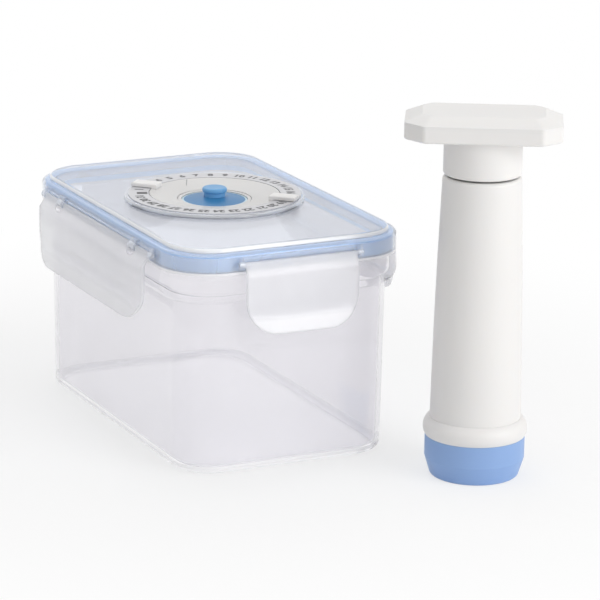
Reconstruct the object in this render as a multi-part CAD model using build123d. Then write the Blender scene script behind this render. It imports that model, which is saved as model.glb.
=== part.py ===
from build123d import *
import os

# A vacuum food canister: a tub, a lid held by four flap latches, a date dial,
# a release valve, and the hand pump that stands beside it.
# Millimetres, +Z up. The origin is the middle of the tub's base face.
# The long side lies along Y, and the short side at -Y is the front.

# Clearances, and the run past a face that every cut makes
running_clearance = 0.05
moving_gap = 0.3
seat_gap = 0.1
overrun = 1.0

# Tub
rim_width = 114.0
rim_length = 179.2
rim_corner = 23.5
side_step = 6.1
end_step = 4.7
base_corner = 18.0
tub_height = 93.7
tub_top_step = 1.0
collar_height = 15.2
collar_swell = 0.8
collar_round = 6.5
shoulder_thickness = 3.3
shoulder_inner_round = 3.0
tub_wall = 2.2
floor_thickness = 2.4
base_round = 4.0
floor_round = 3.0
lip_inset = 2.3
lip_thickness = 1.3
lip_height = 1.1
lip_round = 0.4

# Lid
lid_rim_height = 8.1
lid_rim_round = 1.8
crown_height = 2.2
crown_inset = 3.6
crown_round = 1.6
skirt_wall = 1.4
plate_thickness = 3.3
channel_width = 5.0
channel_wall = 1.2
channel_wall_drop = 3.6
platform_radius = 41.6
platform_height = 1.4
platform_round = 1.3
platform_rim_width = 1.6
platform_rim_height = 0.5
well_radius = 31.9
well_depth = 1.7
seat_hole_radius = 16.2

# Gasket in the lid's channel
gasket_fit = 0.05
gasket_lift = 0.3
gasket_lip_inset = 4.1
gasket_lip_thickness = 0.9
gasket_lip_drop = 1.0
gasket_skirt_gap = 0.15

# Hinges and latches
hinge_out = 1.5
hinge_rise = 3.5
hinge_bar_radius = 1.2
ear_radius = 2.0
ear_width = 2.4
ear_web_out = 1.8
ear_web_height = 3.2
ear_root = 1.2
hood_out = 1.4
hood_rise = 1.7
hood_thickness = 0.8
short_latch_end_inset = 29.6
long_latch_end_inset = 29.1
short_latch_drop = 31.7
long_latch_drop = 31.2
latch_wall = 2.0
short_latch_out = 5.0
long_latch_out = 6.0
latch_shoulder_drop = 4.9
latch_lip_flare = 2.4
latch_lip_height = 9.4
short_latch_corner = 15.0
long_latch_corner = 16.0
mid_ear_place_share = 0.347
mid_ear_width = 6.0
mid_ear_notch_drop = 3.2
mid_ear_notch_round = 1.4
catch_radius = 1.5
catch_drop = 21.0
catch_width_share = 0.76
latch_root_share = 0.5
front_turn_degrees = 0.0
rear_turn_degrees = 180.0
left_turn_degrees = -90.0
right_turn_degrees = 90.0

# Dial and its printed ring
scale_thickness = 0.8
scale_gap = 0.2
scale_hole_radius = 30.4
dial_radius = 30.0
dial_flange_radius = 31.5
dial_hole_radius = 17.2
dial_inner_thickness = 1.3
dial_outer_thickness = 3.7
tab_inner_radius = 27.5
tab_outer_radius = 40.0
tab_width = 7.0
tab_height = 1.7
tab_round = 0.7
dial_turn_degrees = 135.0
tab_turns_degrees = (0.0, 180.0)

# Valve insert in the lid, its washer, and the valve
valve_seat_radius = 16.15
seat_snap_radius = 16.9
seat_rim_height = 1.2
seat_well_radius = 15.3
seat_floor_drop = 2.3
seat_flange_radius = 19.5
seat_flange_thickness = 1.4
washer_thickness = 0.7
washer_bore_radius = 16.3
vent_radius = 1.1
vent_ring_radius = 8.5
vent_count = 6
valve_radius = 15.1
valve_edge_thickness = 1.2
valve_dome = 1.8
valve_wall = 1.1
knob_neck_radius = 4.9
knob_head_radius = 5.7
knob_head_height = 2.4
knob_rise = 4.7
knob_round = 1.0
stem_radius = 2.2
stem_hole_radius = 2.5
stem_barb_radius = 3.4
stem_barb_height = 0.8
valve_lift = 2.0

# Pump: where it stands, and how far it is turned
pump_x = 70.1
pump_y = -125.6
pump_turn_degrees = -29.5

# Pump foot and base
foot_radius = 22.2
foot_tip_radius = 19.6
foot_height = 18.4
foot_taper_height = 8.5
foot_mouth_radius = 15.5
foot_mouth_depth = 10.2
foot_edge_round = 1.4
spigot_radius = 17.4
base_floor_thickness = 2.6
bead_ring_radius = 23.1
bead_ring_height = 8.4
bead_ring_neck_radius = 20.6
base_step_height = 2.6
port_radius = 0.9
port_ring_radius = 3.6
port_count = 4

# Pump cylinder and sleeve
cylinder_bore_radius = 13.2
cylinder_wall = 1.4
cylinder_length = 117.0
sleeve_bottom_radius = 20.2
sleeve_middle_radius = 19.0
sleeve_top_radius = 17.3
sleeve_height = 109.0
sleeve_middle_share = 0.54
sleeve_wall = 2.0
sleeve_shoulder_round = 1.6

# Rod guide, rod and piston
guide_thickness = 3.4
guide_spigot_depth = 2.5
rod_radius = 5.0
piston_radius = 12.9
piston_height = 7.0
piston_floor = 1.5
groove_radius = 10.9
groove_height = 3.0
piston_lift = 2.0
vent_hole_radius = 1.0
vent_hole_ring_radius = 8.0
vent_hole_count = 4
flap_radius = 9.5
flap_thickness = 0.8
inlet_radius = 5.4
inlet_thickness = 0.8
inlet_stem_radius = 1.2
inlet_stem_length = 3.6

# Handle
neck_gap = 0.8
neck_radius = 17.2
neck_wall = 2.0
neck_height = 17.0
neck_round = 1.3
head_width = 68.4
head_depth = 42.0
head_corner_cut = 8.5
head_corner_round = 3.0
head_body_height = 7.0
head_cap_height = 4.0
head_wall = 2.0
head_floor = 2.2
head_edge_round = 1.2
cap_bevel_width = 7.6
cap_bevel_height = 3.4
cap_round = 0.6
cap_plug_depth = 1.6
boss_radius = 8.2
boss_rise = 2.0
rod_top_cover = 2.4
screw_head_radius = 3.4
screw_head_height = 2.2
screw_radius = 1.5
screw_length = 12.0

# Sizes and heights worked out from the sizes above
base_width = rim_width - 2 * side_step
base_length = rim_length - 2 * end_step
rim_z = tub_height
collar_z = tub_height - collar_height
lid_z = rim_z + seat_gap
lid_rim_z = lid_z + lid_rim_height
lid_top_z = lid_rim_z + crown_height
plate_z = lid_top_z - plate_thickness
hinge_z = rim_z + hinge_rise
short_latch_width = rim_width - 2 * short_latch_end_inset
long_latch_width = rim_length - 2 * long_latch_end_inset
mid_ear_place = mid_ear_place_share * long_latch_width
well_z = lid_top_z - well_depth
dial_z = well_z + seat_gap
scale_z = lid_top_z + platform_height
scale_top_z = scale_z + scale_thickness
seat_floor_z = lid_top_z - seat_floor_drop
seat_bottom_z = plate_z - washer_thickness - seat_flange_thickness
spigot_z = foot_mouth_depth + moving_gap
base_floor_z = spigot_z + base_floor_thickness
sleeve_z = foot_height + bead_ring_height
sleeve_top_z = sleeve_z + sleeve_height
cylinder_top_z = base_floor_z + cylinder_length
piston_z = base_floor_z + piston_lift
piston_top_z = piston_z + piston_height
neck_z = sleeve_top_z + neck_gap
head_z = neck_z + neck_height
cap_z = head_z + head_body_height
rod_top_z = head_z + boss_rise

# The latches of the short and of the long sides
short_latch = {
    "width": short_latch_width,
    "drop": short_latch_drop,
    "corner": short_latch_corner,
    "out": short_latch_out,
    "mid_ears": [],
}
long_latch = {
    "width": long_latch_width,
    "drop": long_latch_drop,
    "corner": long_latch_corner,
    "out": long_latch_out,
    "mid_ears": [-mid_ear_place, mid_ear_place],
}

# Turn of each side's latch about Z, how far out the rim lies there, and the latch's sizes
sides = {
    "front": (front_turn_degrees, rim_length / 2, short_latch),
    "rear": (rear_turn_degrees, rim_length / 2, short_latch),
    "left": (left_turn_degrees, rim_width / 2, long_latch),
    "right": (right_turn_degrees, rim_width / 2, long_latch),
}


def rim_outline(inset, z):
    """The rim's rounded rectangle, drawn in by inset, as a face at height z."""
    width = rim_width - 2 * inset
    length = rim_length - 2 * inset
    return Pos(0, 0, z) * RectangleRounded(width, length, rim_corner - inset)


def base_outline(inset, z):
    """The base's rounded rectangle, drawn in by inset, as a face at height z."""
    width = base_width - 2 * inset
    length = base_length - 2 * inset
    return Pos(0, 0, z) * RectangleRounded(width, length, base_corner - inset)


def prism(outline, height):
    """A straight block on an outline."""
    return extrude(outline, amount=height, dir=(0, 0, 1))


def tapered(low, high):
    """A block with flat sides between two outlines."""
    return loft([low, high], ruled=True)


def ring(outer_radius, inner_radius, low, high):
    """A plain round ring about Z."""
    height = high - low
    outer = Cylinder(outer_radius, height, align=(Align.CENTER, Align.CENTER, Align.MIN))
    bore = Cylinder(inner_radius, height + 2 * overrun, align=(Align.CENTER, Align.CENTER, Align.MIN))
    return Pos(0, 0, low) * outer - Pos(0, 0, low - overrun) * bore


def disc(radius, low, high):
    """A plain round disc about Z."""
    return Pos(0, 0, low) * Cylinder(radius, high - low, align=(Align.CENTER, Align.CENTER, Align.MIN))


def turned(points):
    """A body of revolution about Z from (radius, height) points."""
    outline = Polyline([(radius, 0, z) for radius, z in points], close=True)
    return revolve(make_face(outline), axis=Axis.Z)


def round_pattern(piece, ring_radius, count):
    """Copies of a piece spaced evenly round Z."""
    return [Rot(0, 0, 360 * step / count) * Pos(ring_radius, 0, 0) * piece for step in range(count)]


def make_tub():
    """Frosted tub: drafted body, wider collar with a rounded shoulder, and a lip round the mouth."""
    under_collar = base_outline(-tub_top_step, collar_z + collar_round)
    body = tapered(base_outline(0, 0), under_collar)
    body = fillet(body.faces().sort_by(Axis.Z)[0].outer_wire().edges(), base_round)
    collar = tapered(rim_outline(-collar_swell, collar_z), rim_outline(0, rim_z))
    collar = fillet(collar.faces().sort_by(Axis.Z)[0].outer_wire().edges(), collar_round)
    tub = body + collar

    wall_share = (collar_z + shoulder_thickness) / (collar_z + collar_round)
    inner_low = base_outline(tub_wall, floor_thickness)
    inner_high = base_outline(tub_wall - tub_top_step * wall_share, collar_z + shoulder_thickness + overrun)
    cavity = tapered(inner_low, inner_high)
    cavity = fillet(cavity.faces().sort_by(Axis.Z)[0].outer_wire().edges(), floor_round)
    mouth_inset = lip_inset + lip_thickness
    mouth_z = collar_z + shoulder_thickness
    mouth = prism(rim_outline(mouth_inset, mouth_z), rim_z + lip_height - mouth_z + overrun)
    mouth = fillet(mouth.faces().sort_by(Axis.Z)[0].outer_wire().edges(), shoulder_inner_round)
    lip = prism(rim_outline(lip_inset, rim_z - overrun), lip_height + overrun)
    lip = fillet(lip.faces().sort_by(Axis.Z)[-1].outer_wire().edges(), lip_round)
    return tub + lip - mouth - cavity


def ear(width, reach):
    """One hinge ear with its web, for the front side, centred on X = 0."""
    hub = Rot(0, 90, 0) * Cylinder(ear_radius, width)
    hub = Pos(0, -(reach + hinge_out), hinge_z) * hub
    web_depth = ear_web_out + ear_root
    web = Box(width, web_depth, ear_web_height, align=(Align.CENTER, Align.MIN, Align.MIN))
    web = Pos(0, -(reach + ear_web_out), hinge_z) * web
    return hub + web


def end_ear_places(width):
    """Where the ears at the two ends of one latch stand along its side."""
    end = width / 2 + moving_gap + ear_width / 2
    return [-end, end]


def hinge_parts(reach, latch):
    """Ears and hood that the lid carries on the front side."""
    width = latch["width"]
    parts = [Pos(place, 0, 0) * ear(ear_width, reach) for place in end_ear_places(width)]
    parts += [Pos(place, 0, 0) * ear(mid_ear_width, reach) for place in latch["mid_ears"]]
    hood_depth = hood_out + ear_root
    hood = Box(width, hood_depth, hood_thickness, align=(Align.CENTER, Align.MIN, Align.MIN))
    parts.append(Pos(0, -(reach + hood_out), hinge_z + hood_rise) * hood)
    return parts


def bar_length(width):
    """The hinge bar runs through both end ears."""
    return width + 2 * (moving_gap + ear_width)


def make_lid():
    """Clear lid: rim, raised crown, dial platform, gasket channel and hinge ears."""
    shell = prism(rim_outline(0, lid_z), lid_rim_height)
    shell = fillet(shell.faces().sort_by(Axis.Z)[-1].outer_wire().edges(), lid_rim_round)
    crown = prism(rim_outline(crown_inset, plate_z), lid_top_z - plate_z)
    shell += fillet(crown.faces().sort_by(Axis.Z)[-1].outer_wire().edges(), crown_round)
    for turn, reach, latch in sides.values():
        for part in hinge_parts(reach, latch):
            shell += Rot(0, 0, turn) * part
    shell -= prism(rim_outline(skirt_wall, lid_z - overrun), plate_z - lid_z + overrun)

    wall_inset = skirt_wall + channel_width
    wall_z = plate_z - channel_wall_drop
    wall = prism(rim_outline(wall_inset, wall_z), channel_wall_drop)
    wall -= prism(rim_outline(wall_inset + channel_wall, wall_z - overrun), channel_wall_drop + 2 * overrun)

    rim_top = scale_z + platform_rim_height
    platform = disc(platform_radius, lid_top_z, rim_top)
    platform = fillet(platform.edges().group_by(Axis.Z)[-1], platform_round)
    platform -= disc(platform_radius - platform_rim_width, scale_z, rim_top + overrun)
    lid = shell + wall + platform
    lid -= disc(well_radius, well_z, scale_z + overrun)
    lid -= disc(seat_hole_radius, plate_z - overrun, lid_top_z + overrun)
    for turn, reach, latch in sides.values():
        bore_length = bar_length(latch["width"]) + 2 * overrun
        bore = Rot(0, 90, 0) * Cylinder(hinge_bar_radius + running_clearance, bore_length)
        lid -= Rot(0, 0, turn) * Pos(0, -(reach + hinge_out), hinge_z) * bore
    return lid


def make_gasket():
    """Silicone ring that fills the lid's channel, and hangs down on both sides of the tub's lip."""
    outer = skirt_wall + gasket_fit
    inner = skirt_wall + channel_width - gasket_fit
    low = rim_z + lip_height + gasket_lift
    high = plate_z - gasket_fit
    body = prism(rim_outline(outer, low), high - low)
    body -= prism(rim_outline(inner, low - overrun), high - low + 2 * overrun)
    flap = prism(rim_outline(gasket_lip_inset, low - gasket_lip_drop), gasket_lip_drop + overrun)
    flap_inner = gasket_lip_inset + gasket_lip_thickness
    flap -= prism(rim_outline(flap_inner, low - gasket_lip_drop - overrun), gasket_lip_drop + 3 * overrun)
    skirt_z = rim_z + gasket_lift
    skirt = prism(rim_outline(outer, skirt_z), low - skirt_z + overrun)
    skirt -= prism(rim_outline(lip_inset - gasket_skirt_gap, skirt_z - overrun), low - skirt_z + 3 * overrun)
    return body + flap + skirt


def latch_outline(drop, out):
    """The latch's section as (out, height) points, from the hinge bar down to the flared lip."""
    shoulder_z = hinge_z - latch_shoulder_drop
    bottom_z = hinge_z - drop
    flare_z = bottom_z + latch_lip_height
    root = latch_root_share * hinge_bar_radius
    outer = [
        (hinge_out + root, hinge_z + root),
        (out, shoulder_z),
        (out, flare_z),
        (out + latch_lip_flare, bottom_z),
    ]
    inner = [
        (out + latch_lip_flare - latch_wall, bottom_z),
        (out - latch_wall, flare_z),
        (out - latch_wall, shoulder_z),
        (hinge_out, hinge_z - root),
    ]
    return outer + inner


def make_latch(reach, latch):
    """One flap latch for the front side: plate, flared lip, hinge bar and catch bead."""
    width = latch["width"]
    drop = latch["drop"]
    out = latch["out"]
    points = [(-width / 2, -(reach + step), z) for step, z in latch_outline(drop, out)]
    section = make_face(Polyline(points, close=True))
    plate = extrude(section, amount=width, dir=(1, 0, 0))
    trim = Rot(90, 0, 0) * RectangleRounded(width, 2 * drop, latch["corner"])
    trim_depth = out + latch_lip_flare + overrun
    plate = plate & extrude(Pos(0, -reach, hinge_z) * trim, amount=trim_depth, dir=(0, -1, 0))
    for place in latch["mid_ears"]:
        notch = Box(mid_ear_width + 2 * moving_gap, 2 * out, 2 * mid_ear_notch_drop)
        notch = fillet(notch.edges().filter_by(Axis.Y), mid_ear_notch_round)
        plate -= Pos(place, -(reach + out), hinge_z) * notch
    bar = Rot(0, 90, 0) * Cylinder(hinge_bar_radius, bar_length(width))
    bar = Pos(0, -(reach + hinge_out), hinge_z) * bar
    catch = Rot(0, 90, 0) * Cylinder(catch_radius, catch_width_share * width)
    catch_out = collar_swell + moving_gap + catch_radius
    catch = Pos(0, -(reach + catch_out), hinge_z - catch_drop) * catch
    shelf_end = out - latch_wall / 2
    shelf = Box(catch_width_share * width, shelf_end - catch_out, catch_radius)
    shelf_out = (catch_out + shelf_end) / 2
    shelf = Pos(0, -(reach + shelf_out), hinge_z - catch_drop) * shelf
    return plate + bar + catch + shelf


def make_scale_ring():
    """Flat ring that carries the day numbers and holds the dial's flange down."""
    outer = platform_radius - platform_rim_width - scale_gap
    return ring(outer, scale_hole_radius, scale_z, scale_top_z)


def make_date_dial():
    """Dished dial with a flange under the printed ring and two finger tabs over it."""
    flange_top = scale_z - moving_gap
    dial = turned([
        (dial_hole_radius, dial_z),
        (dial_flange_radius, dial_z),
        (dial_flange_radius, flange_top),
        (dial_radius, flange_top),
        (dial_radius, dial_z + dial_outer_thickness),
        (dial_hole_radius, dial_z + dial_inner_thickness),
    ])
    tab_z = scale_top_z + moving_gap
    tab_length = tab_outer_radius - tab_inner_radius
    tab_middle = (tab_outer_radius + tab_inner_radius) / 2
    tab = Box(tab_length, tab_width, tab_height, align=(Align.CENTER, Align.CENTER, Align.MIN))
    tab = Pos(tab_middle, 0, tab_z) * fillet(tab.edges().group_by(Axis.Z)[-1], tab_round)
    root_length = dial_radius - tab_inner_radius
    root = Box(root_length, tab_width, tab_z - dial_z + tab_round, align=(Align.MIN, Align.CENTER, Align.MIN))
    tab += Pos(tab_inner_radius, 0, dial_z) * root
    for turn in tab_turns_degrees:
        dial += Rot(0, 0, dial_turn_degrees + turn) * tab
    return dial


def make_valve_seat():
    """White insert: a holed cup that snaps through the lid's hole, with a flange below it."""
    flange_top = plate_z - washer_thickness
    snap_z = well_z + seat_gap
    rim_top = well_z + seat_rim_height
    seat = turned([
        (0, seat_bottom_z),
        (seat_flange_radius, seat_bottom_z),
        (seat_flange_radius, flange_top),
        (valve_seat_radius, flange_top),
        (valve_seat_radius, snap_z),
        (seat_snap_radius, snap_z),
        (seat_snap_radius, rim_top),
        (seat_well_radius, rim_top),
        (seat_well_radius, seat_floor_z),
        (0, seat_floor_z),
    ])
    middle = (seat_floor_z + seat_bottom_z) / 2
    depth = seat_floor_z - seat_bottom_z + 2 * overrun
    vent = Pos(0, 0, middle) * Cylinder(vent_radius, depth)
    for hole in round_pattern(vent, vent_ring_radius, vent_count):
        seat -= hole
    return seat - Pos(0, 0, middle) * Cylinder(stem_hole_radius, depth)


def make_seat_seal():
    """Flat washer between the insert's flange and the underside of the lid."""
    return ring(seat_flange_radius, washer_bore_radius, plate_z - washer_thickness, plate_z)


def make_valve_disc():
    """Domed silicone flap that covers the vents."""
    low = seat_floor_z + seat_gap
    edge_top = low + valve_edge_thickness
    crown = edge_top + valve_dome
    return turned([
        (valve_radius, low),
        (valve_radius, edge_top),
        (knob_neck_radius, crown),
        (knob_neck_radius, crown - valve_wall),
        (valve_radius - valve_wall, low),
    ])


def make_valve_knob():
    """Mushroom knob with a stem and a barb under the insert's floor."""
    top = seat_floor_z + seat_gap + knob_rise
    head = disc(knob_head_radius, top, top + knob_head_height)
    head = fillet(head.edges(), knob_round)
    neck_low = seat_floor_z + seat_gap
    neck = disc(knob_neck_radius, neck_low, top + knob_head_height / 2)
    barb_top = seat_bottom_z - valve_lift - seat_gap
    stem = disc(stem_radius, barb_top, neck_low + overrun)
    barb = disc(stem_barb_radius, barb_top - stem_barb_height, barb_top)
    return head + neck + stem + barb


def make_pump_foot():
    """Rubber cup that is stretched over the base and seals on the dial."""
    foot = turned([
        (foot_mouth_radius, 0),
        (foot_tip_radius, 0),
        (foot_radius, foot_taper_height),
        (foot_radius, foot_height),
        (spigot_radius + running_clearance, foot_height),
        (spigot_radius + running_clearance, foot_mouth_depth),
        (foot_mouth_radius, foot_mouth_depth),
    ])
    outer_low = foot.edges().filter_by(GeomType.CIRCLE).group_by(Axis.Z)[0].sort_by(SortBy.RADIUS)[-1]
    return fillet(outer_low, foot_edge_round)


def make_pump_base():
    """White base: spigot for the foot, a rounded bead, a holed floor and a socket for the cylinder."""
    socket = cylinder_bore_radius + cylinder_wall + running_clearance
    step_radius = sleeve_bottom_radius - sleeve_wall - running_clearance
    bead_low = foot_height + seat_gap
    step_top = sleeve_z + base_step_height
    outline = [
        Line((0, 0, spigot_z), (spigot_radius, 0, spigot_z)),
        Line((spigot_radius, 0, spigot_z), (spigot_radius, 0, bead_low)),
        Line((spigot_radius, 0, bead_low), (foot_radius, 0, bead_low)),
        ThreePointArc(
            (foot_radius, 0, bead_low),
            (bead_ring_radius, 0, (bead_low + sleeve_z) / 2),
            (bead_ring_neck_radius, 0, sleeve_z),
        ),
        Line((bead_ring_neck_radius, 0, sleeve_z), (step_radius, 0, sleeve_z)),
        Line((step_radius, 0, sleeve_z), (step_radius, 0, step_top)),
        Line((step_radius, 0, step_top), (socket, 0, step_top)),
        Line((socket, 0, step_top), (socket, 0, base_floor_z)),
        Line((socket, 0, base_floor_z), (0, 0, base_floor_z)),
        Line((0, 0, base_floor_z), (0, 0, spigot_z)),
    ]
    base = revolve(make_face(outline), axis=Axis.Z)
    depth = base_floor_thickness + 2 * overrun
    middle = (spigot_z + base_floor_z) / 2
    port = Pos(0, 0, middle) * Cylinder(port_radius, depth)
    for hole in round_pattern(port, port_ring_radius, port_count):
        base -= hole
    return base - Pos(0, 0, middle) * Cylinder(inlet_stem_radius + running_clearance, depth)


def make_inlet_valve():
    """Small umbrella valve over the base's holes."""
    cap = disc(inlet_radius, base_floor_z, base_floor_z + inlet_thickness)
    stem = disc(inlet_stem_radius, base_floor_z - inlet_stem_length, base_floor_z + inlet_thickness)
    return cap + stem


def make_pump_cylinder():
    """Straight tube that stands in the base's socket."""
    return ring(cylinder_bore_radius + cylinder_wall, cylinder_bore_radius, base_floor_z, cylinder_top_z)


def sleeve_face(inset, low, high):
    """Half section under the sleeve's curved side, drawn in by inset."""
    middle_z = sleeve_z + sleeve_middle_share * sleeve_height
    side = ThreePointArc(
        (sleeve_bottom_radius - inset, 0, low),
        (sleeve_middle_radius - inset, 0, middle_z),
        (sleeve_top_radius - inset, 0, high),
    )
    return make_face([
        side,
        Line((sleeve_top_radius - inset, 0, high), (0, 0, high)),
        Line((0, 0, high), (0, 0, low)),
        Line((0, 0, low), (sleeve_bottom_radius - inset, 0, low)),
    ])


def make_pump_sleeve():
    """Tapering barrel with a gently curved side and a rounded shoulder."""
    outer = revolve(sleeve_face(0, sleeve_z, sleeve_top_z), axis=Axis.Z)
    outer = fillet(outer.edges().group_by(Axis.Z)[-1], sleeve_shoulder_round)
    inner = revolve(sleeve_face(sleeve_wall, sleeve_z - overrun, sleeve_top_z + overrun), axis=Axis.Z)
    return outer - inner


def make_rod_guide():
    """Plug that closes the sleeve's top, centres the cylinder and guides the rod."""
    low = sleeve_top_z - guide_thickness
    plug_radius = sleeve_top_radius - sleeve_wall - running_clearance
    plug = disc(plug_radius, low, sleeve_top_z)
    spigot_low = cylinder_top_z - guide_spigot_depth
    spigot = disc(cylinder_bore_radius - running_clearance, spigot_low, low + seat_gap)
    return plug + spigot - disc(rod_radius + running_clearance, spigot_low - overrun, sleeve_top_z + overrun)


def make_piston_rod():
    """Rod from the piston up into the handle, with a hole for the screw."""
    rod = disc(rod_radius, piston_z + piston_floor, rod_top_z)
    return rod - disc(screw_radius, rod_top_z - screw_length, rod_top_z + overrun)


def make_piston():
    """Piston with a groove for its seal, vents through it and a socket for the rod."""
    groove_low = piston_z + (piston_height - groove_height) / 2
    piston = turned([
        (0, piston_z),
        (piston_radius, piston_z),
        (piston_radius, groove_low),
        (groove_radius, groove_low),
        (groove_radius, groove_low + groove_height),
        (piston_radius, groove_low + groove_height),
        (piston_radius, piston_top_z),
        (rod_radius, piston_top_z),
        (rod_radius, piston_z + piston_floor),
        (0, piston_z + piston_floor),
    ])
    middle = (piston_z + piston_top_z) / 2
    vent = Pos(0, 0, middle) * Cylinder(vent_hole_radius, piston_height + 2 * overrun)
    for hole in round_pattern(vent, vent_hole_ring_radius, vent_hole_count):
        piston -= hole
    return piston


def make_piston_seal():
    """Ring in the piston's groove that runs on the cylinder's wall."""
    groove_low = piston_z + (piston_height - groove_height) / 2
    outer = cylinder_bore_radius - running_clearance
    return ring(outer, groove_radius, groove_low + seat_gap, groove_low + groove_height - seat_gap)


def make_exhaust_valve():
    """Thin flap ring over the piston's vents."""
    return ring(flap_radius, rod_radius, piston_top_z, piston_top_z + flap_thickness)


def head_outline(inset, z):
    """The handle's plan, a rectangle with cut corners, drawn in by inset, as a face at height z."""
    outline = Rectangle(head_width - 2 * inset, head_depth - 2 * inset)
    cut_share = 2 - 2 ** 0.5
    outline = chamfer(outline.vertices(), head_corner_cut - cut_share * inset)
    return Pos(0, 0, z) * fillet(outline.vertices(), head_corner_round)


def head_slab(inset, low, high):
    """A straight block of the handle's plan."""
    return prism(head_outline(inset, low), high - low)


def make_handle_body():
    """Neck and open tray of the handle, with a boss that takes the rod."""
    tray = head_slab(0, head_z, cap_z)
    tray = fillet(tray.faces().sort_by(Axis.Z)[0].outer_wire().edges(), head_edge_round)
    tray -= head_slab(head_wall, head_z + head_floor, cap_z + overrun)
    neck = ring(neck_radius, neck_radius - neck_wall, neck_z, head_z + overrun)
    neck = fillet(neck.edges().group_by(Axis.Z)[0].sort_by(SortBy.RADIUS)[-1], neck_round)
    boss_top = rod_top_z + rod_top_cover
    boss = disc(boss_radius, neck_z + neck_wall, boss_top)
    handle = tray + neck + boss
    handle -= disc(rod_radius + running_clearance, neck_z, rod_top_z)
    return handle - disc(screw_radius + running_clearance, rod_top_z - overrun, boss_top + overrun)


def make_handle_cap():
    """Top plate of the handle with a wide bevel and a plug that locates it in the tray."""
    top_z = cap_z + head_cap_height
    bevel_z = top_z - cap_bevel_height
    bevel = tapered(head_outline(0, bevel_z), head_outline(cap_bevel_width, top_z))
    plate = head_slab(0, cap_z, bevel_z) + bevel
    plate = fillet(plate.faces().sort_by(Axis.Z)[-1].outer_wire().edges(), cap_round)
    plug_inset = head_wall + seat_gap
    plug = head_slab(plug_inset, cap_z - cap_plug_depth, cap_z)
    plug -= head_slab(plug_inset + head_wall, cap_z - cap_plug_depth - overrun, cap_z)
    return plate + plug


def make_handle_screw():
    """Screw that holds the handle down on the rod."""
    seat = rod_top_z + rod_top_cover
    head = disc(screw_head_radius, seat, seat + screw_head_height)
    return head + disc(screw_radius, rod_top_z - screw_length + overrun, seat + overrun)


def make_canister():
    """Every node of the canister by name."""
    nodes = {
        "tub": make_tub(),
        "lid": make_lid(),
        "lid_gasket": make_gasket(),
        "scale_ring": make_scale_ring(),
        "date_dial": make_date_dial(),
        "valve_seat": make_valve_seat(),
        "seat_seal": make_seat_seal(),
        "valve_disc": make_valve_disc(),
        "valve_knob": make_valve_knob(),
    }
    for side, (turn, reach, latch) in sides.items():
        nodes["latch_" + side] = Rot(0, 0, turn) * make_latch(reach, latch)
    return nodes


def make_pump():
    """Every node of the hand pump by name, where it stands."""
    nodes = {
        "pump_foot": make_pump_foot(),
        "pump_base": make_pump_base(),
        "inlet_valve": make_inlet_valve(),
        "pump_cylinder": make_pump_cylinder(),
        "pump_sleeve": make_pump_sleeve(),
        "rod_guide": make_rod_guide(),
        "piston_rod": make_piston_rod(),
        "piston": make_piston(),
        "piston_seal": make_piston_seal(),
        "exhaust_valve": make_exhaust_valve(),
        "handle_body": make_handle_body(),
        "handle_cap": make_handle_cap(),
        "handle_screw": make_handle_screw(),
    }
    place = Pos(pump_x, pump_y, 0) * Rot(0, 0, pump_turn_degrees)
    return {name: place * piece for name, piece in nodes.items()}


os.makedirs("parts", exist_ok=True)
for name, piece in {**make_canister(), **make_pump()}.items():
    export_step(piece, "parts/" + name + ".step")
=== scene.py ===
import bpy
from math import cos, pi, radians, sin, sqrt
from mathutils import Matrix, Vector


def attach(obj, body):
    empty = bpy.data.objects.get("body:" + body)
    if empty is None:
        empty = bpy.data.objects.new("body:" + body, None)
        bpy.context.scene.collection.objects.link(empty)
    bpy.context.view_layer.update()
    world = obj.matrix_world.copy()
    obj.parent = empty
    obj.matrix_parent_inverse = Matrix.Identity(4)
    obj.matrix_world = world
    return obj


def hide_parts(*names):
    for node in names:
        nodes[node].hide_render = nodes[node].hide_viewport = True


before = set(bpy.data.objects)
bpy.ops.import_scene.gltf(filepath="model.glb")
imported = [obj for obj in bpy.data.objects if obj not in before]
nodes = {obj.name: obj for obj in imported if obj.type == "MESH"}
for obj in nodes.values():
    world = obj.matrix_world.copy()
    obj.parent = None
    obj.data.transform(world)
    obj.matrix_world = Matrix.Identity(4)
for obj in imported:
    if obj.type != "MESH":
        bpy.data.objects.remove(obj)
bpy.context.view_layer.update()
mm = 0.001
print("frame loaded,", len(nodes), "nodes")


# Camera

cameraView = {
    "azimuth": -26.315,
    "elevation": 15.607,
    "roll": 0.868,
    "distance": 1483.35 * mm,
    "target": (20.67 * mm, -48.66 * mm, 65.17 * mm),
    "lens": 196.05,
    "sensor": 36.0,
    "clipEnd": 20.0,
}


def placeCamera(view):
    turn = Matrix.Rotation(radians(view["azimuth"]), 4, "Z")
    tilt = Matrix.Rotation(radians(90 - view["elevation"]), 4, "X")
    roll = Matrix.Rotation(radians(view["roll"]), 4, "Z")
    aim = turn @ tilt @ roll
    place = Vector(view["target"]) + aim.to_3x3() @ Vector((0, 0, view["distance"]))
    data = bpy.data.cameras.new("camera")
    data.lens = view["lens"]
    data.sensor_width = view["sensor"]
    data.clip_end = view["clipEnd"]
    camera = bpy.data.objects.new("camera", data)
    bpy.context.collection.objects.link(camera)
    camera.matrix_world = Matrix.Translation(place) @ aim
    bpy.context.scene.camera = camera


placeCamera(cameraView)
bpy.context.scene.view_settings.view_transform = "Standard"


# Shader maths: a wire is one socket, and sums on wires add Math nodes

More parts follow.
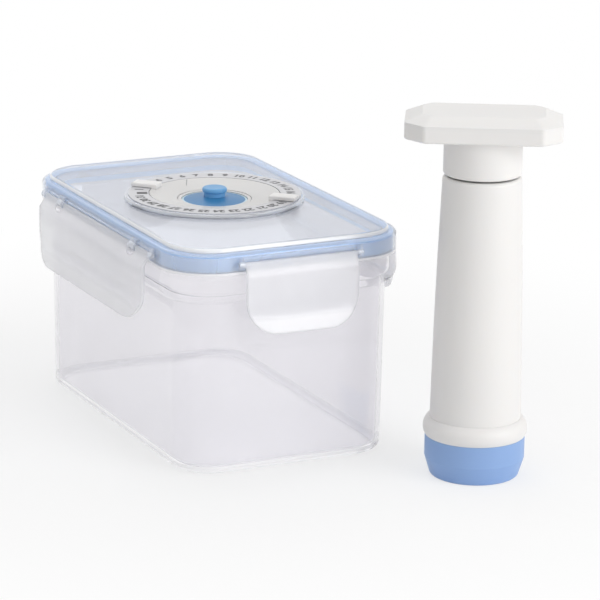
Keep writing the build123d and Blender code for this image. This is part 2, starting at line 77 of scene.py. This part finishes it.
class Wire:
    def __init__(self, finish, socket):
        self.finish = finish
        self.socket = socket

    def join(self, operation, first, second):
        node = self.finish.make("Math", {"operation": operation}, {0: first, 1: second})
        return Wire(self.finish, node.outputs[0])

    def __add__(self, other):
        return self.join("ADD", self, other)

    def __radd__(self, other):
        return self.join("ADD", other, self)

    def __sub__(self, other):
        return self.join("SUBTRACT", self, other)

    def __rsub__(self, other):
        return self.join("SUBTRACT", other, self)

    def __mul__(self, other):
        return self.join("MULTIPLY", self, other)


class Finish:
    # owner is a new material or world
    def __init__(self, owner):
        owner.use_nodes = True
        self.owner = owner
        self.tree = owner.node_tree
        self.tree.nodes.clear()

    def make(self, kind, settings=None, sockets=None):
        node = self.tree.nodes.new("ShaderNode" + kind)
        for key, value in (settings or {}).items():
            setattr(node, key, value)
        for key, value in (sockets or {}).items():
            if isinstance(value, Wire):
                self.tree.links.new(value.socket, node.inputs[key])
            else:
                node.inputs[key].default_value = value
        return node

    def wire(self, node, output=0):
        return Wire(self, node.outputs[output])

    def place(self):
        return self.wire(self.make("TexCoord"), "Object")

    def height(self):
        return self.wire(self.make("SeparateXYZ", {}, {0: self.place()}), "Z")

    def reach(self):
        # how far from the upright axis through the origin
        flat = self.make("VectorMath", {"operation": "MULTIPLY"}, {0: self.place(), 1: (1, 1, 0)})
        length = self.make("VectorMath", {"operation": "LENGTH"}, {0: self.wire(flat)})
        return self.wire(length, "Value")

    def noise(self, size, detail=2.0, stretch=(1, 1, 1)):
        # size is the width of one blotch
        scaled = self.make("Mapping", {}, {"Vector": self.place(), "Scale": stretch})
        sockets = {"Vector": self.wire(scaled), "Scale": 1 / size, "Detail": detail}
        return self.wire(self.make("TexNoise", {}, sockets))

    def around(self, middle, spread, cloud):
        return middle + (cloud - 0.5) * spread

    def blend(self, share, first, second):
        # each of the two is a plain colour or a wire
        shades = [shade if isinstance(shade, Wire) else (*shade, 1) for shade in (first, second)]
        sockets = {0: share, 6: shades[0], 7: shades[1]}
        return self.wire(self.make("Mix", {"data_type": "RGBA"}, sockets), 2)

    def bump(self, height, depth):
        sockets = {"Height": height, "Distance": depth, "Strength": 1.0}
        return self.wire(self.make("Bump", {}, sockets))

    def rise(self, value, low, high):
        # 0 below low, 1 above high
        sockets = {"Value": value, "From Min": low, "From Max": high}
        return self.wire(self.make("MapRange", {"interpolation_type": "SMOOTHSTEP"}, sockets))

    def band(self, low, high, soft):
        # 1 between two heights, with soft borders
        height = self.height()
        return self.rise(height, low, low + soft) * (1 - self.rise(height, high - soft, high))

    def patchShare(self, patch):
        value = self.height() if patch["axis"] == "height" else self.reach()
        return self.rise(value, patch["low"], patch["high"])

    def mixShaders(self, share, first, second):
        sockets = {0: share, 1: self.wire(first), 2: self.wire(second)}
        return self.make("MixShader", {}, sockets)

    def close(self, shader, kind="OutputMaterial"):
        self.make(kind, {}, {"Surface": self.wire(shader)})
        return self.owner


# Floor, backdrop and light

stageLook = {
    "size": 6.0,
    "floorColor": (0.93, 0.93, 0.93, 1),
    "white": (1, 1, 1, 1),
    "nearShare": 0.65,
    "farShare": 1.0,
    "nearReach": 0.1,
    "farReach": 0.36,
    "worldLight": 0.5,
}
softBoxes = {
    "keyLight": {"place": (0.82, -1.4, 0.65), "size": 1.05, "watts": 13.2},
    "fillLight": {"place": (-1.4, -0.6, 1.0), "size": 1.2, "watts": 1.5},
    "backLight": {"place": (0.2, 1.4, 1.5), "size": 1.2, "watts": 4.0},
    "topLight": {"place": (-0.1, 0.1, 1.9), "size": 1.0, "watts": 6.0},
}


def seenDirectly(finish):
    # 1 for what the camera sees, also in a mirror or through clear plastic
    rays = finish.make("LightPath")
    camera = finish.wire(rays, "Is Camera Ray")
    glossy = finish.wire(rays, "Is Glossy Ray")
    through = finish.wire(rays, "Is Transmission Ray")
    either = camera.join("MAXIMUM", camera, glossy)
    return either.join("MAXIMUM", either, through)


def makeFloor(look):
    # a matt floor that fades into plain white away from the object
    bpy.ops.object.select_all(action="DESELECT")
    bpy.ops.mesh.primitive_plane_add(size=look["size"], location=(0, 0, 0))
    floor = bpy.context.object
    floor.name = "floor"
    finish = Finish(bpy.data.materials.new("pale floor"))
    matt = finish.make("BsdfDiffuse", {}, {"Color": look["floorColor"]})
    white = finish.make("Emission", {}, {"Color": look["white"], "Strength": 1.0})
    fade = finish.rise(finish.reach(), look["nearReach"], look["farReach"])
    plain = fade * (look["farShare"] - look["nearShare"]) + look["nearShare"]
    both = finish.mixShaders(seenDirectly(finish) * plain, matt, white)
    floor.data.materials.append(finish.close(both))


def makeWorld(look):
    # white to look at, dimmer as a light
    finish = Finish(bpy.data.worlds.new("studio"))
    strength = seenDirectly(finish) * (1 - look["worldLight"]) + look["worldLight"]
    background = finish.make("Background", {}, {"Color": look["white"], "Strength": strength})
    bpy.context.scene.world = finish.close(background, "OutputWorld")


def makeLights(boxes):
    # each light is a square that faces the origin
    for name, box in boxes.items():
        data = bpy.data.lights.new(name, "AREA")
        data.size = box["size"]
        data.energy = box["watts"]
        lamp = bpy.data.objects.new(name, data)
        bpy.context.collection.objects.link(lamp)
        lamp.location = box["place"]
        lamp.rotation_euler = Vector(box["place"]).to_track_quat("Z", "Y").to_euler()


makeFloor(stageLook)
makeWorld(stageLook)
makeLights(softBoxes)
print("floor and lights placed")


# Kinds of plastic and steel

grainDetail = 3.0


def clearPlastic(name, look):
    # a clear shader and a milky one, mixed by how much the plastic scatters at each height; some
    # height bands add whiter milk as painted highlight
    finish = Finish(bpy.data.materials.new(name))
    cloud = finish.noise(look["cloudSize"])
    grain = finish.noise(look["grainSize"], detail=grainDetail)
    shared = {
        "Roughness": finish.around(look["roughness"], look["roughnessSpread"], cloud),
        "Normal": finish.bump(grain, look["grainDepth"]),
        "Coat Weight": look["sheen"],
        "Coat Roughness": look["sheenRoughness"],
    }
    clear = finish.make("BsdfPrincipled", {}, {
        "Base Color": finish.blend(cloud, look["pale"], look["deep"]),
        "Transmission Weight": 1.0,
        "IOR": look["bending"],
        **shared,
    })
    tone = finish.blend(cloud, look["milkPale"], look["milkDeep"])
    share = finish.around(look["milk"], look["milkSpread"], cloud)
    # bands: more milk and a whiter tone at set heights, partly painted highlight
    for low, high, soft, more in look["milkAndHighlightBands"]:
        inside = finish.band(low, high, soft)
        share = share + inside * more
        tone = finish.blend(inside, tone, look["milkAndHighlightTone"])
    milkAndHighlightShader = finish.make("BsdfPrincipled", {}, {"Base Color": tone, **shared})
    return finish.close(finish.mixShaders(share, clear, milkAndHighlightShader))


def solidPlastic(name, look, patch=None):
    finish = Finish(bpy.data.materials.new(name))
    cloud = finish.noise(look["cloudSize"])
    grain = finish.noise(look["grainSize"], detail=grainDetail)
    tone = finish.blend(cloud, look["pale"], look["deep"])
    if patch:
        tone = finish.blend(finish.patchShare(patch), tone, patch["tone"])
    return finish.close(finish.make("BsdfPrincipled", {}, {
        "Base Color": tone,
        "Roughness": finish.around(look["roughness"], look["roughnessSpread"], cloud),
        "Normal": finish.bump(grain, look["grainDepth"]),
        "Subsurface Weight": look["glow"],
        "Subsurface Radius": look["glowRadius"],
        "Subsurface Scale": look["glowScale"],
    }))


def brushedSteel(name, look):
    finish = Finish(bpy.data.materials.new(name))
    streaks = finish.noise(look["brushSize"], stretch=look["brushStretch"])
    return finish.close(finish.make("BsdfPrincipled", {}, {
        "Base Color": finish.blend(streaks, look["pale"], look["deep"]),
        "Roughness": look["roughness"] + streaks * look["roughnessSpread"],
        "Metallic": 1.0,
    }))


def dress(material, *names):
    for name in names:
        node = nodes[name]
        node.data.materials.clear()
        node.data.materials.append(material)


# Clear and frosted plastic, with its bands of milk and painted highlight as low, high, border and
# added share

tubLook = {
    "pale": (0.965, 0.957, 0.975), "deep": (0.955, 0.946, 0.967), "cloudSize": 60 * mm,
    "milkPale": (0.93, 0.92, 0.96), "milkDeep": (0.90, 0.89, 0.93),
    "milk": 0.15, "milkSpread": 0.06,
    # the floor fillet band is partly milk in the thick corner and partly painted highlight; the
    # band at the lip top is painted highlight
    "milkAndHighlightBands": [(2.0 * mm, 4.4 * mm, 0.6 * mm, 0.3),
                   (79.0 * mm, 92.0 * mm, 3.0 * mm, -0.1),
                   (92.5 * mm, 94.2 * mm, 0.3 * mm, 0.6)],
    "milkAndHighlightTone": (0.92, 0.915, 0.94),
    "roughness": 0.1, "roughnessSpread": 0.05, "grainSize": 1.2 * mm, "grainDepth": 0.01 * mm,
    "bending": 1.03, "sheen": 1.0, "sheenRoughness": 0.12,
}
dress(clearPlastic("frosted tub plastic", tubLook), "tub")

lidLook = {
    "pale": (0.83, 0.865, 0.935), "deep": (0.81, 0.85, 0.925), "cloudSize": 50 * mm,
    "milkPale": (0.80, 0.83, 0.90), "milkDeep": (0.77, 0.80, 0.88),
    "milk": 0.13, "milkSpread": 0.06,
    # the band at the crown's rounded edge is painted highlight, and the band at the dial
    # platform's step painted glint, both in the white band tone
    "milkAndHighlightBands": [(93.6 * mm, 100.5 * mm, 0.4 * mm, 0.14),
                   (102.05 * mm, 103.95 * mm, 0.25 * mm, 0.8),
                   (104.25 * mm, 106.1 * mm, 0.4 * mm, 0.35)],
    "milkAndHighlightTone": (0.95, 0.96, 0.98),
    "roughness": 0.06, "roughnessSpread": 0.03, "grainSize": 3.0 * mm, "grainDepth": 0.006 * mm,
    "bending": 1.03, "sheen": 1.0, "sheenRoughness": 0.16,
}
dress(clearPlastic("clear lid plastic", lidLook), "lid")

latchLook = {
    "pale": (0.98, 0.98, 0.99), "deep": (0.97, 0.972, 0.985), "cloudSize": 30 * mm,
    "milkPale": (0.90, 0.90, 0.925), "milkDeep": (0.88, 0.88, 0.91),
    "milk": 0.4, "milkSpread": 0.1,
    # the band at the lower lip whitens it as painted highlight
    "milkAndHighlightBands": [(64.0 * mm, 74.0 * mm, 3.0 * mm, 0.12)],
    "milkAndHighlightTone": (0.93, 0.93, 0.95),
    "roughness": 0.16, "roughnessSpread": 0.06, "grainSize": 1.2 * mm, "grainDepth": 0.01 * mm,
    "bending": 1.03, "sheen": 0.18, "sheenRoughness": 0.32,
}
latchPlastic = clearPlastic("frosted latch plastic", latchLook)
dress(latchPlastic, "latch_front", "latch_rear", "latch_left", "latch_right")


# Solid plastic, silicone and print

gasketLook = {
    "pale": (0.42, 0.68, 1.0), "deep": (0.39, 0.64, 0.98), "cloudSize": 20 * mm,
    "roughness": 0.4, "roughnessSpread": 0.1, "grainSize": 0.8 * mm, "grainDepth": 0.01 * mm,
    "glow": 0.3, "glowRadius": (0.6, 0.8, 1.0), "glowScale": 2.0 * mm,
}
dress(solidPlastic("blue gasket silicone", gasketLook), "lid_gasket")

dialLook = {
    "pale": (0.74, 0.73, 0.72), "deep": (0.72, 0.71, 0.70), "cloudSize": 30 * mm,
    "roughness": 0.38, "roughnessSpread": 0.08, "grainSize": 0.7 * mm, "grainDepth": 0.008 * mm,
    "glow": 0.15, "glowRadius": (1.0, 0.9, 0.8), "glowScale": 2.0 * mm,
}
dialTabs = {"axis": "height", "low": 106.3 * mm, "high": 106.6 * mm, "tone": (0.90, 0.88, 0.87)}
dress(solidPlastic("white dial plastic", dialLook, dialTabs), "date_dial", "valve_seat")

filmLook = {
    "pale": (0.67, 0.67, 0.70), "deep": (0.65, 0.65, 0.68), "cloudSize": 20 * mm,
    "roughness": 0.2, "roughnessSpread": 0.04, "grainSize": 1.0 * mm, "grainDepth": 0.004 * mm,
    "glow": 0.0, "glowRadius": (1.0, 1.0, 1.0), "glowScale": 1.0 * mm,
}
dress(solidPlastic("pale scale film", filmLook), "scale_ring")

inkLook = {
    "pale": (0.045, 0.045, 0.05), "deep": (0.035, 0.035, 0.04), "cloudSize": 4.0 * mm,
    "roughness": 0.45, "roughnessSpread": 0.08, "grainSize": 0.4 * mm, "grainDepth": 0.002 * mm,
    "glow": 0.0, "glowRadius": (1.0, 1.0, 1.0), "glowScale": 1.0 * mm,
}
printInk = solidPlastic("dark print", inkLook)

markInkLook = {**inkLook, "pale": (0.38, 0.38, 0.39), "deep": (0.35, 0.35, 0.36)}
markInk = solidPlastic("grey print", markInkLook)

knobLook = {
    "pale": (0.16, 0.42, 0.74), "deep": (0.13, 0.38, 0.70), "cloudSize": 8.0 * mm,
    "roughness": 0.38, "roughnessSpread": 0.1, "grainSize": 0.5 * mm, "grainDepth": 0.01 * mm,
    "glow": 0.2, "glowRadius": (0.5, 0.8, 1.0), "glowScale": 1.0 * mm,
}
dress(solidPlastic("sky blue valve silicone", knobLook), "valve_knob")

discLook = {**knobLook, "pale": (0.04, 0.22, 0.47), "deep": (0.035, 0.20, 0.44), "glow": 0.1}
discRim = {"axis": "reach", "low": 14.0 * mm, "high": 14.4 * mm, "tone": (0.62, 0.80, 0.88)}
dress(solidPlastic("deep blue valve silicone", discLook, discRim), "valve_disc")

footLook = {
    "pale": (0.29, 0.45, 0.76), "deep": (0.27, 0.42, 0.73), "cloudSize": 15 * mm,
    "roughness": 0.45, "roughnessSpread": 0.1, "grainSize": 0.6 * mm, "grainDepth": 0.02 * mm,
    "glow": 0.15, "glowRadius": (0.6, 0.8, 1.0), "glowScale": 1.0 * mm,
}
dress(solidPlastic("blue foot rubber", footLook), "pump_foot")

pumpLook = {
    "pale": (0.85, 0.835, 0.82), "deep": (0.83, 0.815, 0.80), "cloudSize": 50 * mm,
    "roughness": 0.42, "roughnessSpread": 0.1, "grainSize": 0.6 * mm, "grainDepth": 0.012 * mm,
    "glow": 0.12, "glowRadius": (1.0, 0.85, 0.7), "glowScale": 2.0 * mm,
}
dress(solidPlastic("warm white pump plastic", pumpLook),
      "pump_base", "pump_sleeve", "handle_body", "handle_cap")

innerLook = {
    "pale": (0.82, 0.82, 0.80), "deep": (0.79, 0.79, 0.77), "cloudSize": 20 * mm,
    "roughness": 0.3, "roughnessSpread": 0.06, "grainSize": 0.6 * mm, "grainDepth": 0.008 * mm,
    "glow": 0.1, "glowRadius": (1.0, 1.0, 1.0), "glowScale": 1.0 * mm,
}
dress(solidPlastic("inner pump plastic", innerLook),
      "pump_cylinder", "rod_guide", "piston_rod", "piston")

sealLook = {
    "pale": (0.80, 0.81, 0.80), "deep": (0.76, 0.77, 0.77), "cloudSize": 10 * mm,
    "roughness": 0.5, "roughnessSpread": 0.08, "grainSize": 0.5 * mm, "grainDepth": 0.01 * mm,
    "glow": 0.2, "glowRadius": (1.0, 1.0, 1.0), "glowScale": 1.0 * mm,
}
dress(solidPlastic("clear seal silicone", sealLook),
      "seat_seal", "inlet_valve", "piston_seal", "exhaust_valve")

screwLook = {
    "pale": (0.62, 0.62, 0.64), "deep": (0.52, 0.52, 0.54),
    "brushSize": 0.4 * mm, "brushStretch": (1, 1, 0.1),
    "roughness": 0.32, "roughnessSpread": 0.1,
}
dress(brushedSteel("brushed steel", screwLook), "handle_screw")
print("finishes on the pieces")


# Shapes changed by modifiers, applied at once

def reshape(piece, kind, settings):
    modifier = piece.modifiers.new(kind.lower(), kind)
    for key, value in settings.items():
        setattr(modifier, key, value)
    bpy.ops.object.modifier_apply(modifier=modifier.name)


def addSlab(size, roundShare):
    # a flat block lying at the origin, its edges rounded by a share of its depth
    bpy.ops.object.select_all(action="DESELECT")
    bpy.ops.mesh.primitive_cube_add(size=1, location=(0, 0, 0))
    slab = bpy.context.object
    slab.scale = size
    bpy.ops.object.transform_apply(location=True, rotation=True, scale=True)
    edges = {"width": roundShare * size[2], "segments": 2, "limit_method": "ANGLE"}
    reshape(slab, "BEVEL", edges)
    return slab


# Numbers printed on the scale, with a block between the last day and the first

numberLook = {
    "days": 31,
    "slots": 32,
    "radius": 35.0 * mm,
    "fontSize": 5.3 * mm,
    "boldness": 0.2 * mm,
    "curveSteps": 3,
    "inkDepth": 0.02 * mm,
    "filmTop": 106.3 * mm,
    "blockTurn": 158.6,
    "blockRadius": 33.4 * mm,
    "blockSize": (3.6 * mm, 4.8 * mm, 0.04 * mm),
    "blockRoundShare": 0.6,
}


def placeOnRing(piece, radius, turn, height):
    across = radians(turn)
    piece.rotation_euler = (0, 0, across - pi / 2)
    piece.location = (radius * cos(across), radius * sin(across), height)
    bpy.ops.object.transform_apply(location=True, rotation=True, scale=True)


def addNumber(day, look):
    bpy.ops.object.select_all(action="DESELECT")
    bpy.ops.object.text_add(location=(0, 0, 0))
    text = bpy.context.object.data
    text.body = str(day)
    text.size = look["fontSize"]
    text.extrude = look["inkDepth"]
    text.offset = look["boldness"]
    text.resolution_u = look["curveSteps"]
    text.align_x = "CENTER"
    text.align_y = "CENTER"
    bpy.ops.object.convert(target="MESH")
    number = bpy.context.object
    turn = look["blockTurn"] - day * 360 / look["slots"]
    placeOnRing(number, look["radius"], turn, look["filmTop"] + look["inkDepth"])
    return number


def addBlock(look):
    block = addSlab(look["blockSize"], look["blockRoundShare"])
    middle = look["filmTop"] + look["blockSize"][2] / 2
    placeOnRing(block, look["blockRadius"], look["blockTurn"], middle)
    return block


def printNumbers(look):
    marks = [addNumber(day, look) for day in range(1, look["days"] + 1)]
    marks.append(addBlock(look))
    bpy.ops.object.select_all(action="DESELECT")
    for mark in marks:
        mark.select_set(True)
    bpy.context.view_layer.objects.active = marks[0]
    bpy.ops.object.join()
    numbers = bpy.context.object
    numbers.name = "scale_numbers"
    numbers.data.materials.clear()
    numbers.data.materials.append(printInk)
    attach(numbers, "lid")


printNumbers(numberLook)


# Line on the dial's slope that points at the day

markLook = {
    "inner": (-5.9 * mm, 19.0 * mm, 104.16 * mm),
    "outer": (-0.9 * mm, 29.2 * mm, 106.1 * mm),
    "width": 0.45 * mm,
    "depth": 0.06 * mm,
    "roundShare": 0.4,
}


def addDialMark(look):
    inner, outer = Vector(look["inner"]), Vector(look["outer"])
    along = outer - inner
    mark = addSlab((look["width"], along.length, look["depth"]), look["roundShare"])
    mark.name = "dial_mark"
    mark.rotation_euler = along.to_track_quat("Y", "Z").to_euler()
    mark.location = (inner + outer) / 2
    bpy.ops.object.transform_apply(location=True, rotation=True, scale=True)
    mark.data.materials.append(markInk)
    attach(mark, "date_dial")


addDialMark(markLook)
print("numbers printed")


# Latches with soft edges, each from its own node

softLatchLook = {
    "weld": 0.001 * mm,
    "grid": 0.4 * mm,
    "smoothShare": 0.5,
    "smoothing": 20,
    "bendSmoothing": 120,
    "bendReach": 4.5 * mm,
    "edgeKeep": 1.8 * mm,
    "plateFoot": 65.6 * mm,
    "keptShare": 0.35,
}
shortLatch = {
    "across": 0,  # its plate runs along X
    "halfWidth": 27.4 * mm,
    "corner": 15 * mm,
    "bends": (92.4 * mm, 74.9 * mm),
}
longLatch = {
    "across": 1,  # its plate runs along Y
    "halfWidth": 60.5 * mm,
    "corner": 16 * mm,
    "bends": (92.4 * mm, 75.4 * mm),
}
latches = {
    "latch_front": shortLatch,
    "latch_rear": shortLatch,
    "latch_left": longLatch,
    "latch_right": longLatch,
}


def plateReach(latch, height, look):
    # how far the plate goes to each side at a height, less a kept edge
    corner = latch["corner"]
    deep = max(0, look["plateFoot"] + corner - height)
    curved = corner - sqrt(max(0, corner ** 2 - deep ** 2))
    return latch["halfWidth"] - curved - look["edgeKeep"]


def markBends(piece, latch, look):
    # the bends across the plate, away from its ends
    group = piece.vertex_groups.new(name="bends")
    for bend in latch["bends"]:
        near = [point.index for point in piece.data.vertices
                if abs(point.co.z - bend) < look["bendReach"]
                and abs(point.co[latch["across"]]) < plateReach(latch, point.co.z, look)]
        group.add(near, 1.0, "REPLACE")


def softenLatch(name, latch, look):
    bpy.ops.object.select_all(action="DESELECT")
    piece = nodes[name].copy()
    piece.data = nodes[name].data.copy()
    piece.name = "soft_" + name
    bpy.context.collection.objects.link(piece)
    piece.select_set(True)
    bpy.context.view_layer.objects.active = piece
    bpy.ops.object.mode_set(mode="EDIT")
    bpy.ops.mesh.select_all(action="SELECT")
    bpy.ops.mesh.remove_doubles(threshold=look["weld"])
    bpy.ops.object.mode_set(mode="OBJECT")
    reshape(piece, "REMESH", {"mode": "VOXEL", "voxel_size": look["grid"]})
    soft = {"factor": look["smoothShare"], "iterations": look["smoothing"]}
    reshape(piece, "SMOOTH", soft)
    markBends(piece, latch, look)
    softBends = {**soft, "iterations": look["bendSmoothing"], "vertex_group": "bends"}
    reshape(piece, "SMOOTH", softBends)
    reshape(piece, "DECIMATE", {"ratio": look["keptShare"]})
    bpy.ops.object.shade_smooth()
    piece.data.materials.clear()
    piece.data.materials.append(latchPlastic)
    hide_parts(name)
    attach(piece, name)
    print("soft latch", name, len(piece.data.polygons))


for latchName, latchShape in latches.items():
    softenLatch(latchName, latchShape, softLatchLook)
